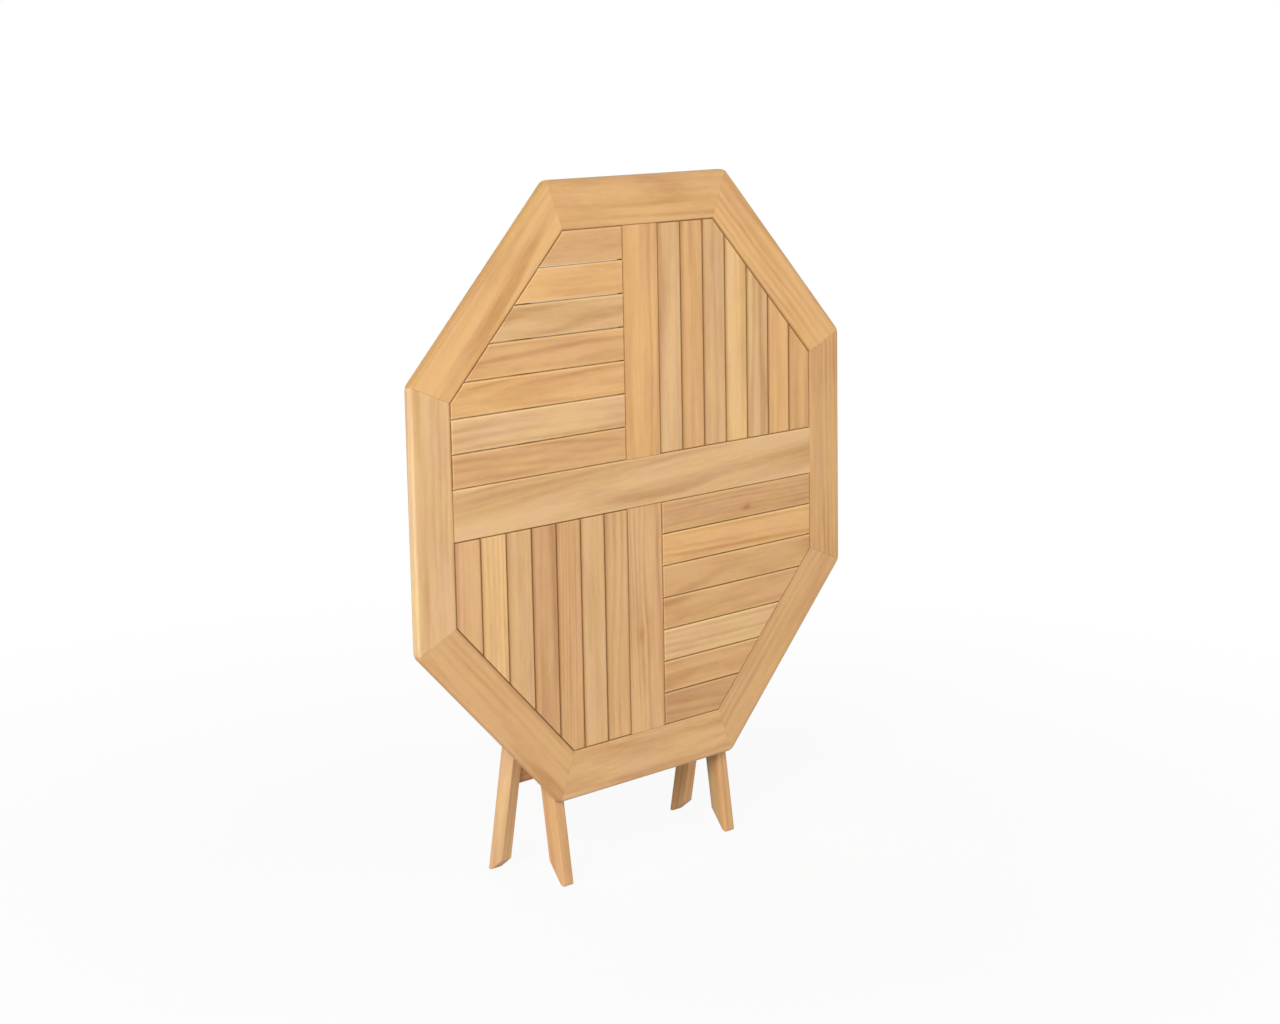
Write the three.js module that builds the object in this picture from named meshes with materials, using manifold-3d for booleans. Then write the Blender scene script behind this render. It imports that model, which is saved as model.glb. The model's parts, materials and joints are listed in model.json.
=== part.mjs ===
// Folding eight-sided slatted teak table, standing folded: the top hangs upright in front of a
// pair of crossed leg frames. Millimetres, +Z up, +X to the right, the table's face looks to -Y.
// The origin lies on the floor, under the axis on which the two leg frames cross.
import * as THREE from 'three';
import { mergeVertices } from 'three/addons/utils/BufferGeometryUtils.js';
import Module from 'manifold-3d';

// Driving dimensions of the top
const topAcross = 1400; // across the flats of the outer edge
const topThickness = 22;
const boardWidth = 111; // the eight mitred boards round the edge
const railWidth = 113; // the rail through the middle and the two rails above and below it
const slatsPerQuarter = 7;
const slatGap = 2.5;
const edgeGap = 1.5; // between a slat and the rail or board that runs along it
const woodEase = 3; // rounding along the edges of the boards, rails and slats
const rimEase = 6; // the larger rounding round the outside of the top
const rimCornerRadius = 26;

// Tongues on the slats and rails, and the grooves that hold them
const tongueLength = 8;
const tongueThickness = 6;
const grooveEndClearance = 1;
const shoulderGap = 1.5; // at the ends of the slats

// Driving dimensions of the leg frames
const legDepth = 41;
const legThickness = 30;
const legEase = 2;
const innerLegSpacing = 551; // between the middles of the two inner legs
const frameGap = 3; // between an inner and an outer leg, filled by a washer
const crossToTip = 570; // from the crossing axis down to the sharp corner of a foot
const crossToHinge = 248; // from the crossing axis up to the end axis of a leg
const footFlat = 13; // part of the foot that stands flat when the table is open
const innerBevelLength = 54; // the slanting cut above the flat of a foot
const outerBevelLength = 32;
const footRounding = 4;

// How far each leg leans from the vertical, in degrees
const restSplay = 9.05;
const openSplay = 30;

// Battens under the top, with the hinge and the catch
const battenWidth = 25;
const battenDepth = 45;
const battenLength = 1190;
const battenEndSlope = 24;
const hingeDrop = 24; // hinge axis below the underside of the top
const hingeOffset = 95; // hinge axis off the middle line of the top
const catchFlare = 13; // how far the mouth of the catch opens towards the hinge
const catchClearance = 1.3;

// Rails of the leg frames
const catchRailDiameter = 24;
const catchRailOverhang = 3; // past the outer faces of the battens
const stopRailThickness = 21;
const stopRailHeight = 60;
const stretcherThickness = 22;
const stretcherHeight = 45;
const stretcherBelowCross = 325;
const headRailBelowHinge = 52;
const tenonLength = 18;
const tenonThickness = 10;
const tenonHeight = 30;

// Metal fittings
const rodDiameter = 10;
const hingeBoltDiameter = 8;
const washerDiameter = 24;
const capFlangeThickness = 2.4;
const capNutDiameter = 17;
const capNutHeight = 12;
const boltHeadDiameter = 19;
const boltHeadHeight = 5;
const boltNutHeight = 7;
const boltNutDiameter = 15;
const hexSides = 6;
const headRimShare = 0.35;
const headDomeShares = [0.7, 0.82];
const nutRimShare = 0.5;
const nutDomeShares = [0.72, 0.85];

// Clearances and drawing values
const fit = 0.3; // between pieces that touch
const bore = 0.4; // round a rod or bolt in its hole
const overrun = 20; // how far a cutter reaches past what it cuts
const arcSegments = 10;
const easeSegments = 2;
const rimSegments = 3;
const cornerSteps = [-1, -0.5, 0, 0.5, 1]; // across the rounding of a corner of the top
const weldDistance = 0.0001;
const degree = Math.PI / 180;

// Sizes that follow from the driving ones
const apothem = topAcross / 2;
const innerApothem = apothem - boardWidth;
const halfRail = railWidth / 2;
const grooveDepth = tongueLength + grooveEndClearance;
const grooveWidth = tongueThickness + 2 * fit;
const slatPitch = (innerApothem - halfRail - 2 * edgeGap + slatGap) / slatsPerQuarter;
const slatWidth = slatPitch - slatGap;
const halfLeg = legDepth / 2;
const innerLegX = innerLegSpacing / 2;
const outerLegX = innerLegX + legThickness + frameGap;
const outerFace = outerLegX + legThickness / 2;
const battenX = outerFace + frameGap + battenWidth / 2;
const battenTop = -topThickness - fit;
const hingeLevel = -topThickness - hingeDrop;
const catchOffset = 2 * crossToHinge * Math.sin(openSplay * degree);
const catchRadius = catchRailDiameter / 2 + catchClearance;

// The top leans until its lower back edge meets the inner legs
const belowHinge = apothem - hingeOffset;
const closedAngle = 2 * restSplay * degree;
const seatReach = crossToHinge * Math.sin(closedAngle) - halfLeg - fit;
const seatAngle = Math.asin(seatReach / Math.hypot(belowHinge, hingeDrop))
  + Math.atan2(hingeDrop, belowHinge);
const lean = restSplay * degree - seatAngle;

// Heights of the crossing axis: standing folded it rests on the rounded corners of the feet
const openCrossHeight = crossToTip * Math.cos(openSplay * degree)
  - halfLeg * Math.sin(openSplay * degree);
const toeSide = halfLeg - footRounding;
const toeDown = (openCrossHeight - footRounding + toeSide * Math.sin(openSplay * degree))
  / Math.cos(openSplay * degree);
const crossHeight = toeDown * Math.cos(restSplay * degree)
  - toeSide * Math.sin(restSplay * degree) + footRounding;

// The stop rail lies on the backs of the inner legs and meets the fronts of the outer ones
const stopRailBack = halfLeg + stopRailThickness + 2 * fit;
const stopRailTop = (halfLeg + stopRailBack * Math.cos(closedAngle)) / Math.sin(closedAngle);

// Materials
const teak = { color: 0xdcb27c, roughness: 0.62, metalness: 0 };
const teakFrame = { color: 0xe0b781, roughness: 0.6, metalness: 0 };
const steel = { color: 0xb9bbbd, roughness: 0.35, metalness: 1 };

const hands = { left: -1, right: 1 };

const wasm = await Module();
wasm.setup();

// Closed geometry in, solid out
function toSolid(geometry) {
  const bare = geometry.clone();
  bare.deleteAttribute('normal');
  bare.deleteAttribute('uv');
  const merged = mergeVertices(bare, weldDistance);
  return new wasm.Manifold(new wasm.Mesh({
    numProp: 3,
    vertProperties: new Float32Array(merged.attributes.position.array),
    triVerts: new Uint32Array(merged.index.array),
  }));
}

// Solid in, geometry out
function toGeometry(solid) {
  const mesh = solid.getMesh();
  const geometry = new THREE.BufferGeometry();
  const places = new Float32Array(mesh.vertProperties);
  geometry.setAttribute('position', new THREE.BufferAttribute(places, 3));
  geometry.setIndex(new THREE.BufferAttribute(new Uint32Array(mesh.triVerts), 1));
  geometry.computeVertexNormals();
  return geometry;
}

const cutBy = (solid, cutters) => cutters.reduce((left, cutter) => left.subtract(cutter), solid);

function shapeOf(points) {
  return new THREE.Shape(points.map(([x, y]) => new THREE.Vector2(x, y)));
}

// A flat piece between z = low and z = low + thickness, with all its edges rounded over
function slabGeometry(shape, low, thickness, ease, segments = easeSegments) {
  const geometry = new THREE.ExtrudeGeometry(shape, {
    depth: thickness - 2 * ease,
    bevelEnabled: ease > 0,
    bevelThickness: ease,
    bevelSize: ease,
    bevelOffset: -ease,
    bevelSegments: segments,
    curveSegments: arcSegments,
  });
  return geometry.translate(0, 0, low + ease);
}

function slab(shape, low, thickness, ease, segments) {
  return toSolid(slabGeometry(shape, low, thickness, ease, segments));
}

// The same for an outline drawn in Y and Z, extruded along X about x = middle
function sideSlab(shape, middle, thickness, ease) {
  const geometry = slabGeometry(shape, -thickness / 2, thickness, ease);
  geometry.rotateX(Math.PI / 2);
  geometry.rotateZ(Math.PI / 2);
  return toSolid(geometry.translate(middle, 0, 0));
}

// A box given by its size and its middle
function block(size, middle) {
  return toSolid(new THREE.BoxGeometry(...size).translate(...middle));
}

// A round bar along X
function barX(diameter, from, to, y, z) {
  const radius = diameter / 2;
  const geometry = new THREE.CylinderGeometry(radius, radius, to - from, 2 * arcSegments);
  geometry.rotateZ(Math.PI / 2);
  return toSolid(geometry.translate((from + to) / 2, y, z));
}

// A turned piece along X. Each point of its profile is a radius and a distance outwards
function turnedX(profile, side, x, y, z) {
  const points = profile.map(([radius, out]) => new THREE.Vector2(radius, out));
  const geometry = new THREE.LatheGeometry(points, 2 * arcSegments);
  geometry.rotateZ(-side * Math.PI / 2);
  return toSolid(geometry.translate(side * x, y, z));
}

function ring(inside, outside, thickness) {
  const inner = inside / 2;
  const outer = outside / 2;
  return [[inner, 0], [outer, 0], [outer, thickness], [inner, thickness], [inner, 0]];
}

// The part of an outline where normal . point is no more than the limit
function clip(points, normal, limit) {
  const kept = [];
  const over = ([x, y]) => normal[0] * x + normal[1] * y - limit;
  points.forEach((point, i) => {
    const next = points[(i + 1) % points.length];
    const here = over(point);
    const there = over(next);
    if (here <= 0) kept.push(point);
    if (here * there < 0) {
      const part = here / (here - there);
      kept.push([
        point[0] + (next[0] - point[0]) * part,
        point[1] + (next[1] - point[1]) * part,
      ]);
    }
  });
  return kept;
}

function rectangle(left, right, low, high) {
  return [[left, low], [right, low], [right, high], [left, high]];
}

function addPiece(group, name, solid, finish) {
  const mesh = new THREE.Mesh(toGeometry(solid), new THREE.MeshStandardMaterial(finish));
  mesh.name = name;
  group.add(mesh);
}

// The top, drawn flat: X to the right, Y up its face, the face at z = 0

const sideAngles = { top: 0, top_left: 1, left: 2, bottom_left: 3,
  bottom: 4, bottom_right: 5, right: 6, top_right: 7 };
const cornerAngle = Math.PI / 8;
const tongueLow = (-topThickness - tongueThickness) / 2;
const grooveLow = (-topThickness - grooveWidth) / 2;

// An outline with eight flats at the given distance, its corners rounded in the given steps
function octagon(flatRadius, cornerRadius, steps) {
  const centreReach = (flatRadius - cornerRadius) / Math.cos(cornerAngle);
  return shapeOf(Object.values(sideAngles).flatMap((k) => steps.map((step) => {
    const corner = (2 * k + 1) * cornerAngle;
    const angle = corner + step * cornerAngle;
    return [
      centreReach * Math.cos(corner) + cornerRadius * Math.cos(angle),
      centreReach * Math.sin(corner) + cornerRadius * Math.sin(angle),
    ];
  })));
}

// The whole top as one disc, for the rounding round its outside
const rimDisc = slab(octagon(apothem, rimCornerRadius, cornerSteps),
  -topThickness, topThickness, rimEase, rimSegments);

// A strip of wood with rounded edges, sawn square to its outline
function sawn(strip, outline) {
  const saw = slab(shapeOf(outline), -topThickness - overrun, topThickness + 2 * overrun, 0);
  return slab(shapeOf(strip), -topThickness, topThickness, woodEase).intersect(saw);
}

// One mitred board of the edge, cut above the middle and turned to its side
function edgeBoard(k) {
  let outline = rectangle(-topAcross, topAcross, 0, topAcross);
  for (const side of [-1, 1]) {
    const normal = [side * Math.cos(cornerAngle), -Math.sin(cornerAngle)];
    outline = clip(outline, normal, -fit / 2);
  }
  const board = sawn(rectangle(-apothem, apothem, innerApothem, topAcross), outline);
  const turned = board.rotate([0, 0, (k * 2 * cornerAngle) / degree]).intersect(rimDisc);
  const groove = slab(octagon(innerApothem + grooveDepth, 0, [0]), grooveLow, grooveWidth, 0);
  return turned.subtract(groove);
}

const tongueReach = innerApothem + tongueLength;
const railCore = halfRail - grooveDepth - shoulderGap;

function midRail() {
  const end = innerApothem - fit;
  const body = sawn(rectangle(-apothem, apothem, -halfRail, halfRail),
    rectangle(-end, end, -railWidth, railWidth));
  const grooves = [-1, 1].map((side) => block(
    [topAcross, 2 * grooveDepth, grooveWidth],
    [0, side * halfRail, -topThickness / 2],
  ));
  const tongue = slab(shapeOf(rectangle(-tongueReach, tongueReach, -railCore, railCore)),
    tongueLow, tongueThickness, 0);
  return cutBy(body, grooves).add(tongue);
}

// The rail above the middle takes slats on its left, and the one below on its right
function centreRail() {
  const body = sawn(rectangle(-halfRail, halfRail, 0, apothem),
    rectangle(-railWidth, railWidth, halfRail + fit, innerApothem - fit));
  const groove = block([2 * grooveDepth, topAcross, grooveWidth],
    [-halfRail, topAcross / 2, -topThickness / 2]);
  const tongue = slab(shapeOf(rectangle(-railCore, railCore, halfRail - tongueLength, tongueReach)),
    tongueLow, tongueThickness, 0);
  return body.subtract(groove).add(tongue);
}

// An upright slat of the upper right quarter, number 0 next to the rail
function slat(number) {
  const left = halfRail + edgeGap + number * slatPitch;
  const right = left + slatWidth;
  const cut = (low, flat) => {
    const strip = rectangle(left, right, low, flat);
    return clip(strip, [Math.SQRT1_2, Math.SQRT1_2], flat);
  };
  const body = cut(halfRail + shoulderGap, innerApothem - shoulderGap);
  const tongue = cut(halfRail - tongueLength, tongueReach);
  return slab(shapeOf(body), -topThickness, topThickness, woodEase)
    .add(slab(shapeOf(tongue), tongueLow, tongueThickness, 0));
}

const battenBottom = battenTop - battenDepth;

// A batten seen from the side, with sloping ends and the catch open at its lower edge
function battenShape() {
  const half = battenLength / 2;
  const catchMiddle = catchOffset - hingeOffset;
  const shape = new THREE.Shape();
  shape.moveTo(-half, battenTop);
  shape.lineTo(-half + battenEndSlope, battenBottom);
  shape.lineTo(catchMiddle - catchRadius - catchFlare, battenBottom);
  shape.lineTo(catchMiddle - catchRadius, hingeLevel);
  shape.absarc(catchMiddle, hingeLevel, catchRadius, Math.PI, 0, true);
  shape.lineTo(catchMiddle + catchRadius, battenBottom);
  shape.lineTo(half - battenEndSlope, battenBottom);
  shape.lineTo(half, battenTop);
  return shape;
}

function batten(side) {
  const hingeHole = barX(hingeBoltDiameter + 2 * bore, -topAcross, topAcross,
    -hingeOffset, hingeLevel);
  const solid = sideSlab(battenShape(), side * battenX, battenWidth, legEase);
  return solid.subtract(hingeHole);
}

// Hinge bolts run from a domed head outside each batten to a nut inside the outer leg
const boltReach = battenWidth + frameGap + legThickness + boltNutHeight + 2 * fit;

function hingeBolt(side) {
  const radius = boltHeadDiameter / 2;
  const profile = [
    [0, -boltReach - fit],
    [hingeBoltDiameter / 2, -boltReach - fit],
    [hingeBoltDiameter / 2, 0],
    [radius, 0],
    [radius, boltHeadHeight * headRimShare],
    [radius * headDomeShares[0], boltHeadHeight * headDomeShares[1]],
    [0, boltHeadHeight],
  ];
  return turnedX(profile, side, battenX + battenWidth / 2 + fit, -hingeOffset, hingeLevel);
}

function hingeNut(side) {
  const nut = new THREE.CylinderGeometry(boltNutDiameter / 2, boltNutDiameter / 2,
    boltNutHeight, hexSides);
  nut.rotateZ(Math.PI / 2);
  const x = side * (outerLegX - legThickness / 2 - fit - boltNutHeight / 2);
  const solid = toSolid(nut.translate(x, -hingeOffset, hingeLevel));
  return solid.subtract(barX(hingeBoltDiameter + 2 * fit, x - overrun, x + overrun,
    -hingeOffset, hingeLevel));
}

// A washer that fills the gap outside x = inside
function washer(side, boltDiameter, inside, y, z) {
  const profile = ring(boltDiameter + 2 * bore, washerDiameter, frameGap - 2 * fit);
  return turnedX(profile, side, inside + fit, y, z);
}

const top = new THREE.Group();
for (const [name, k] of Object.entries(sideAngles)) {
  addPiece(top, `board_${name}`, edgeBoard(k), teakFrame);
}
addPiece(top, 'mid_rail', midRail(), teakFrame);
addPiece(top, 'upper_centre_rail', centreRail(), teakFrame);
addPiece(top, 'lower_centre_rail', centreRail().rotate([0, 0, Math.PI / degree]), teakFrame);
['upper_right', 'upper_left', 'lower_left', 'lower_right'].forEach((quarter, turn) => {
  for (let number = 0; number < slatsPerQuarter; number += 1) {
    const turned = slat(number).rotate([0, 0, (turn * Math.PI) / 2 / degree]);
    addPiece(top, `slat_${quarter}_${number + 1}`, turned, teak);
  }
});
for (const [hand, side] of Object.entries(hands)) {
  const hingeWasher = washer(side, hingeBoltDiameter, outerFace, -hingeOffset, hingeLevel);
  addPiece(top, `batten_${hand}`, batten(side), teakFrame);
  addPiece(top, `hinge_bolt_${hand}`, hingeBolt(side), steel);
  addPiece(top, `hinge_nut_${hand}`, hingeNut(side), steel);
  addPiece(top, `hinge_washer_${hand}`, hingeWasher, steel);
}

// The leg frames, drawn upright about their crossing axis, feet to the back (+Y)

const openSlope = openSplay * degree;
const toeAngle = -Math.PI / 2 - openSlope;
const flatStart = (openCrossHeight + (halfLeg - footFlat) * Math.sin(openSlope))
  / Math.cos(openSlope);

// A leg seen from the side: round at its hinge end, cut and bevelled at its foot
function legShape(bevelLength) {
  const shape = new THREE.Shape();
  shape.moveTo(halfLeg, crossToHinge);
  shape.absarc(0, crossToHinge, halfLeg, 0, Math.PI, false);
  shape.lineTo(-halfLeg, bevelLength - flatStart);
  shape.lineTo(halfLeg - footFlat, -flatStart);
  shape.absarc(toeSide, -toeDown, footRounding, toeAngle, 0, false);
  return shape;
}

// Holes run right across both legs of a frame
const rodHole = barX(rodDiameter + 2 * bore, -topAcross, topAcross, 0, 0);
const hingeHole = barX(hingeBoltDiameter + 2 * bore, -topAcross, topAcross, 0, crossToHinge);
const dowelHole = barX(catchRailDiameter + 2 * fit, -topAcross, topAcross, 0, crossToHinge);

// Rails between the outer legs, with a tenon at each end
const outerLegInside = outerLegX - legThickness / 2;
const railLevels = { outer_stretcher: -stretcherBelowCross,
  outer_head_rail: crossToHinge - headRailBelowHinge };

function tenonedRail(level) {
  const half = outerLegInside - fit;
  const body = slab(shapeOf(rectangle(-half, half, -stretcherHeight / 2, stretcherHeight / 2)),
    -stretcherThickness / 2, stretcherThickness, legEase);
  const tenon = block([2 * (half + tenonLength), tenonHeight, tenonThickness], [0, 0, 0]);
  return body.add(tenon).rotate([Math.PI / 2 / degree, 0, 0]).translate([0, 0, level]);
}

function mortise(level) {
  return block([2 * (outerLegInside + tenonLength + fit), tenonThickness + 2 * fit,
    tenonHeight + 2 * fit], [0, 0, level]);
}

function outerLeg(side) {
  const solid = sideSlab(legShape(outerBevelLength), side * outerLegX, legThickness, legEase);
  return cutBy(solid, [rodHole, hingeHole, ...Object.values(railLevels).map(mortise)]);
}

function innerLeg(side) {
  const solid = sideSlab(legShape(innerBevelLength), side * innerLegX, legThickness, legEase)
    .mirror([0, 1, 0]);
  return cutBy(solid, [rodHole, dowelHole]);
}

// The stop rail lies on the backs of the inner legs
function stopRail() {
  const outline = rectangle(-outerFace, outerFace, -stopRailHeight / 2, stopRailHeight / 2);
  return slab(shapeOf(outline), 0, stopRailThickness, legEase)
    .rotate([-Math.PI / 2 / degree, 0, 0])
    .translate([0, halfLeg + fit, -stopRailTop - stopRailHeight / 2]);
}

const catchHalf = battenX + battenWidth / 2 + catchRailOverhang;
const rodHalf = outerFace + fit + capNutHeight / 2;

function capNut(side) {
  const radius = capNutDiameter / 2;
  const hole = rodDiameter / 2 + fit;
  const depth = capNutHeight / 2 + fit;
  const profile = [
    [0, depth],
    [hole, depth],
    [hole, 0],
    [washerDiameter / 2, 0],
    [washerDiameter / 2, capFlangeThickness],
    [radius, capFlangeThickness],
    [radius, capNutHeight * nutRimShare],
    [radius * nutDomeShares[0], capNutHeight * nutDomeShares[1]],
    [0, capNutHeight],
  ];
  return turnedX(profile, side, outerFace + fit, 0, 0);
}

const outerFrame = new THREE.Group();
for (const [name, level] of Object.entries(railLevels)) {
  addPiece(outerFrame, name, tenonedRail(level), teakFrame);
}

const innerFrame = new THREE.Group();
addPiece(innerFrame, 'catch_rail',
  barX(catchRailDiameter, -catchHalf, catchHalf, 0, crossToHinge), teakFrame);
addPiece(innerFrame, 'stop_rail', stopRail(), teakFrame);

const crossing = new THREE.Group();
addPiece(crossing, 'pivot_rod', barX(rodDiameter, -rodHalf, rodHalf, 0, 0), steel);
for (const [hand, side] of Object.entries(hands)) {
  const pivotWasher = washer(side, rodDiameter, innerLegX + legThickness / 2, 0, 0);
  addPiece(outerFrame, `outer_leg_${hand}`, outerLeg(side), teakFrame);
  addPiece(innerFrame, `inner_leg_${hand}`, innerLeg(side), teakFrame);
  addPiece(crossing, `pivot_cap_nut_${hand}`, capNut(side), steel);
  addPiece(crossing, `pivot_washer_${hand}`, pivotWasher, steel);
}

// Standing folded: both frames at their rest splay, the top leaning on the inner legs

const splay = restSplay * degree;
const behindFace = topThickness + hingeDrop;
outerFrame.rotation.x = splay;
innerFrame.rotation.x = -splay;
top.rotation.x = Math.PI / 2 - lean;
for (const group of [outerFrame, innerFrame, crossing]) group.position.z = crossHeight;
top.position.set(
  0,
  hingeOffset * Math.sin(lean) - behindFace * Math.cos(lean) - crossToHinge * Math.sin(splay),
  crossHeight + crossToHinge * Math.cos(splay) + hingeOffset * Math.cos(lean)
    + behindFace * Math.sin(lean),
);

const table = new THREE.Group();
table.add(top, outerFrame, innerFrame, crossing);

export default table;
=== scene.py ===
import json
import math
import random

import bpy
from mathutils import Euler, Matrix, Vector


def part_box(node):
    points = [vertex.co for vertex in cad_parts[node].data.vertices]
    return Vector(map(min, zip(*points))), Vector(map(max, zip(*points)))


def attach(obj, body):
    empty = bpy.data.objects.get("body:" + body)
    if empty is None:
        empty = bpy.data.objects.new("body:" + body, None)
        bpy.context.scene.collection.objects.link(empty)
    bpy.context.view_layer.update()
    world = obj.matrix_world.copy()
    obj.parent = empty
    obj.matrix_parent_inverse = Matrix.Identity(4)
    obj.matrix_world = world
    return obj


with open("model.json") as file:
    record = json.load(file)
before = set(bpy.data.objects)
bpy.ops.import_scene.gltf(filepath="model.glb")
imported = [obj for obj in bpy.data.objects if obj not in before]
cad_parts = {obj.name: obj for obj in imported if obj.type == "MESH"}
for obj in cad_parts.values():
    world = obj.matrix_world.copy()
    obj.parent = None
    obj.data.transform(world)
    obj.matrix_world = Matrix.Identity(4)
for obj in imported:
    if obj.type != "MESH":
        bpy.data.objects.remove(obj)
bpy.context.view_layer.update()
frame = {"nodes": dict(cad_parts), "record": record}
nodes = frame["nodes"]

# How the table stands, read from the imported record
joints = {joint["name"]: joint for joint in frame["record"]["behaviour"]["joints"]}
hingeAxis = Vector(joints["top_tilt"]["pos_m"])
crossAxis = Vector(joints["outer_legs_open"]["pos_m"])
faceMount = frame["record"]["mounts"][0]
faceMiddle = Vector(faceMount["pos_m"])
faceNormal = Vector(faceMount["axis"])
faceUp = Vector((1, 0, 0)).cross(-faceNormal)
topLean = math.asin(faceNormal.z)
legSplay = math.atan2(crossAxis.y - hingeAxis.y, hingeAxis.z - crossAxis.z)
print("top leans", round(math.degrees(topLean), 2), "legs splay", round(math.degrees(legSplay), 2))

# A piece is turned by these until it lies flat, with its length along X
topTurn = topLean - math.pi / 2
quarterTurn = math.pi / 2
eighthTurn = math.pi / 4


def middleOf(name):
    low, high = (Vector(corner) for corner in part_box(name))
    return (low + high) / 2


# Node tree helpers: a value that is a socket is linked, anything else is set

def feed(tree, socket, value):
    if isinstance(value, bpy.types.NodeSocket):
        tree.links.new(value, socket)
    else:
        socket.default_value = value


def add(tree, kind, settings=None, inputs=None):
    node = tree.nodes.new(kind)
    for name, value in (settings or {}).items():
        setattr(node, name, value)
    for name, value in (inputs or {}).items():
        feed(tree, node.inputs[name], value)
    return node


def calculate(tree, operation, *values, clamp=False):
    node = add(tree, "ShaderNodeMath", {"operation": operation, "use_clamp": clamp})
    for socket, value in zip(node.inputs, values):
        feed(tree, socket, value)
    return node.outputs[0]


def vectorOf(tree, x=0.0, y=0.0, z=0.0):
    return add(tree, "ShaderNodeCombineXYZ", None, {"X": x, "Y": y, "Z": z}).outputs["Vector"]


def partsOf(tree, vector):
    return add(tree, "ShaderNodeSeparateXYZ", None, {"Vector": vector}).outputs


def combineVectors(tree, operation, *values):
    node = add(tree, "ShaderNodeVectorMath", {"operation": operation})
    for socket, value in zip(node.inputs, values):
        feed(tree, socket, value)
    return node.outputs["Vector"]


def lengthOf(tree, vector):
    node = add(tree, "ShaderNodeVectorMath", {"operation": "LENGTH"})
    feed(tree, node.inputs[0], vector)
    return node.outputs["Value"]


def remap(tree, value, low, high, atLow=0.0, atHigh=1.0):
    node = add(tree, "ShaderNodeMapRange", {"clamp": True}, {
        "Value": value, "From Min": low, "From Max": high, "To Min": atLow, "To Max": atHigh})
    return node.outputs["Result"]


def mixColours(tree, first, second, share, blend="MIX"):
    node = add(tree, "ShaderNodeMix", {"data_type": "RGBA", "blend_type": blend})
    feed(tree, node.inputs["Factor"], share)
    for socket, value in zip([s for s in node.inputs if s.type == "RGBA"], (first, second)):
        feed(tree, socket, value)
    return next(s for s in node.outputs if s.type == "RGBA")


def tint(tree, colour, shades, share=1.0):
    return mixColours(tree, colour, shades + (1.0,), share, "MULTIPLY")


def mixShaders(tree, share, first, second):
    both = add(tree, "ShaderNodeMixShader", None, {"Fac": share})
    feed(tree, both.inputs[1], first.outputs[0])
    feed(tree, both.inputs[2], second.outputs[0])
    return both.outputs[0]


# Noise whose size is set by how often it comes round in a metre, along X and across it
def stretchedNoise(tree, place, along, across, detail, roughness=0.5):
    spread = combineVectors(tree, "MULTIPLY", place, (along, across, across))
    return add(tree, "ShaderNodeTexNoise", None, {
        "Vector": spread, "Scale": 1.0, "Detail": detail, "Roughness": roughness}).outputs


def newGroup(name, kind, inputs, outputs):
    tree = bpy.data.node_groups.new(name, kind)
    for label, (socketKind, value) in inputs.items():
        socket = tree.interface.new_socket(label, in_out="INPUT", socket_type=socketKind)
        if value is not None:
            socket.default_value = value
    for label, socketKind in outputs.items():
        tree.interface.new_socket(label, in_out="OUTPUT", socket_type=socketKind)
    entry = tree.nodes.new("NodeGroupInput").outputs
    result = tree.nodes.new("NodeGroupOutput").inputs
    return tree, entry, result


def placeGroup(tree, group, inputs):
    return add(tree, "ShaderNodeGroup", {"node_tree": group}, inputs).outputs


def newMaterial(name):
    material = bpy.data.materials.new(name)
    material.use_nodes = True
    return material, material.node_tree


# A colour written as it looks on the screen, for sockets that count light
def paint(hexText):
    channels = [int(hexText[i:i + 2], 16) / 255 for i in (1, 3, 5)]
    return [c / 12.92 if c <= 0.04045 else ((c + 0.055) / 1.055) ** 2.4 for c in channels] + [1.0]


def scaled(colour, shares):
    return [c * share for c, share in zip(colour, shares)] + [1.0]


# Teak: growth rings round a pith that lies beside the board, streaks and pores along the grain.
# The group's Vector has the grain along X and the pith on that axis.
woodFigure = {
    "ringWidth": 0.012,
    "waviness": 0.022,
    "ringDrift": 2.2,  # rings by which their count wanders along the board
    "ringLean": 1.7,  # above 1, a ring darkens slowly and ends quickly
    "leastRing": 0.2,  # strength of the faintest ring
    "patchRange": (0.34, 0.6),  # where the rings are faint, and where they are full
    "leastPatch": 0.25,
    "poreRange": (0.62, 0.74),
    "poreDepth": 0.8,  # against the height of a ring
    "warmthRange": (0.3, 0.7),
    "warmthStart": (7, 3, 5),  # takes the warmer places from another part of the noise
}

# How often a pattern comes round in a metre, along the grain and across it, its detail and roughness
woodPatterns = {
    "warp": (2.0, 9, 3.0, 0.42),
    "drift": (0.9, 7, 1.0),
    "patches": (2.1, 17, 1.0),
    "streaks": (3.2, 95, 4.0),
    "flecks": (24, 150, 2.0),
    "fibres": (42, 1300, 1.0),
    "clouds": (3.4, 21, 2.0),
    "warmth": (5.5, 24, 2.0),
}

figureMasks = ("Rings", "Streaks", "Flecks", "Pores", "Clouds", "Warmth")


def pattern(tree, place, name, output="Fac"):
    return stretchedNoise(tree, place, *woodPatterns[name])[output]


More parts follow.
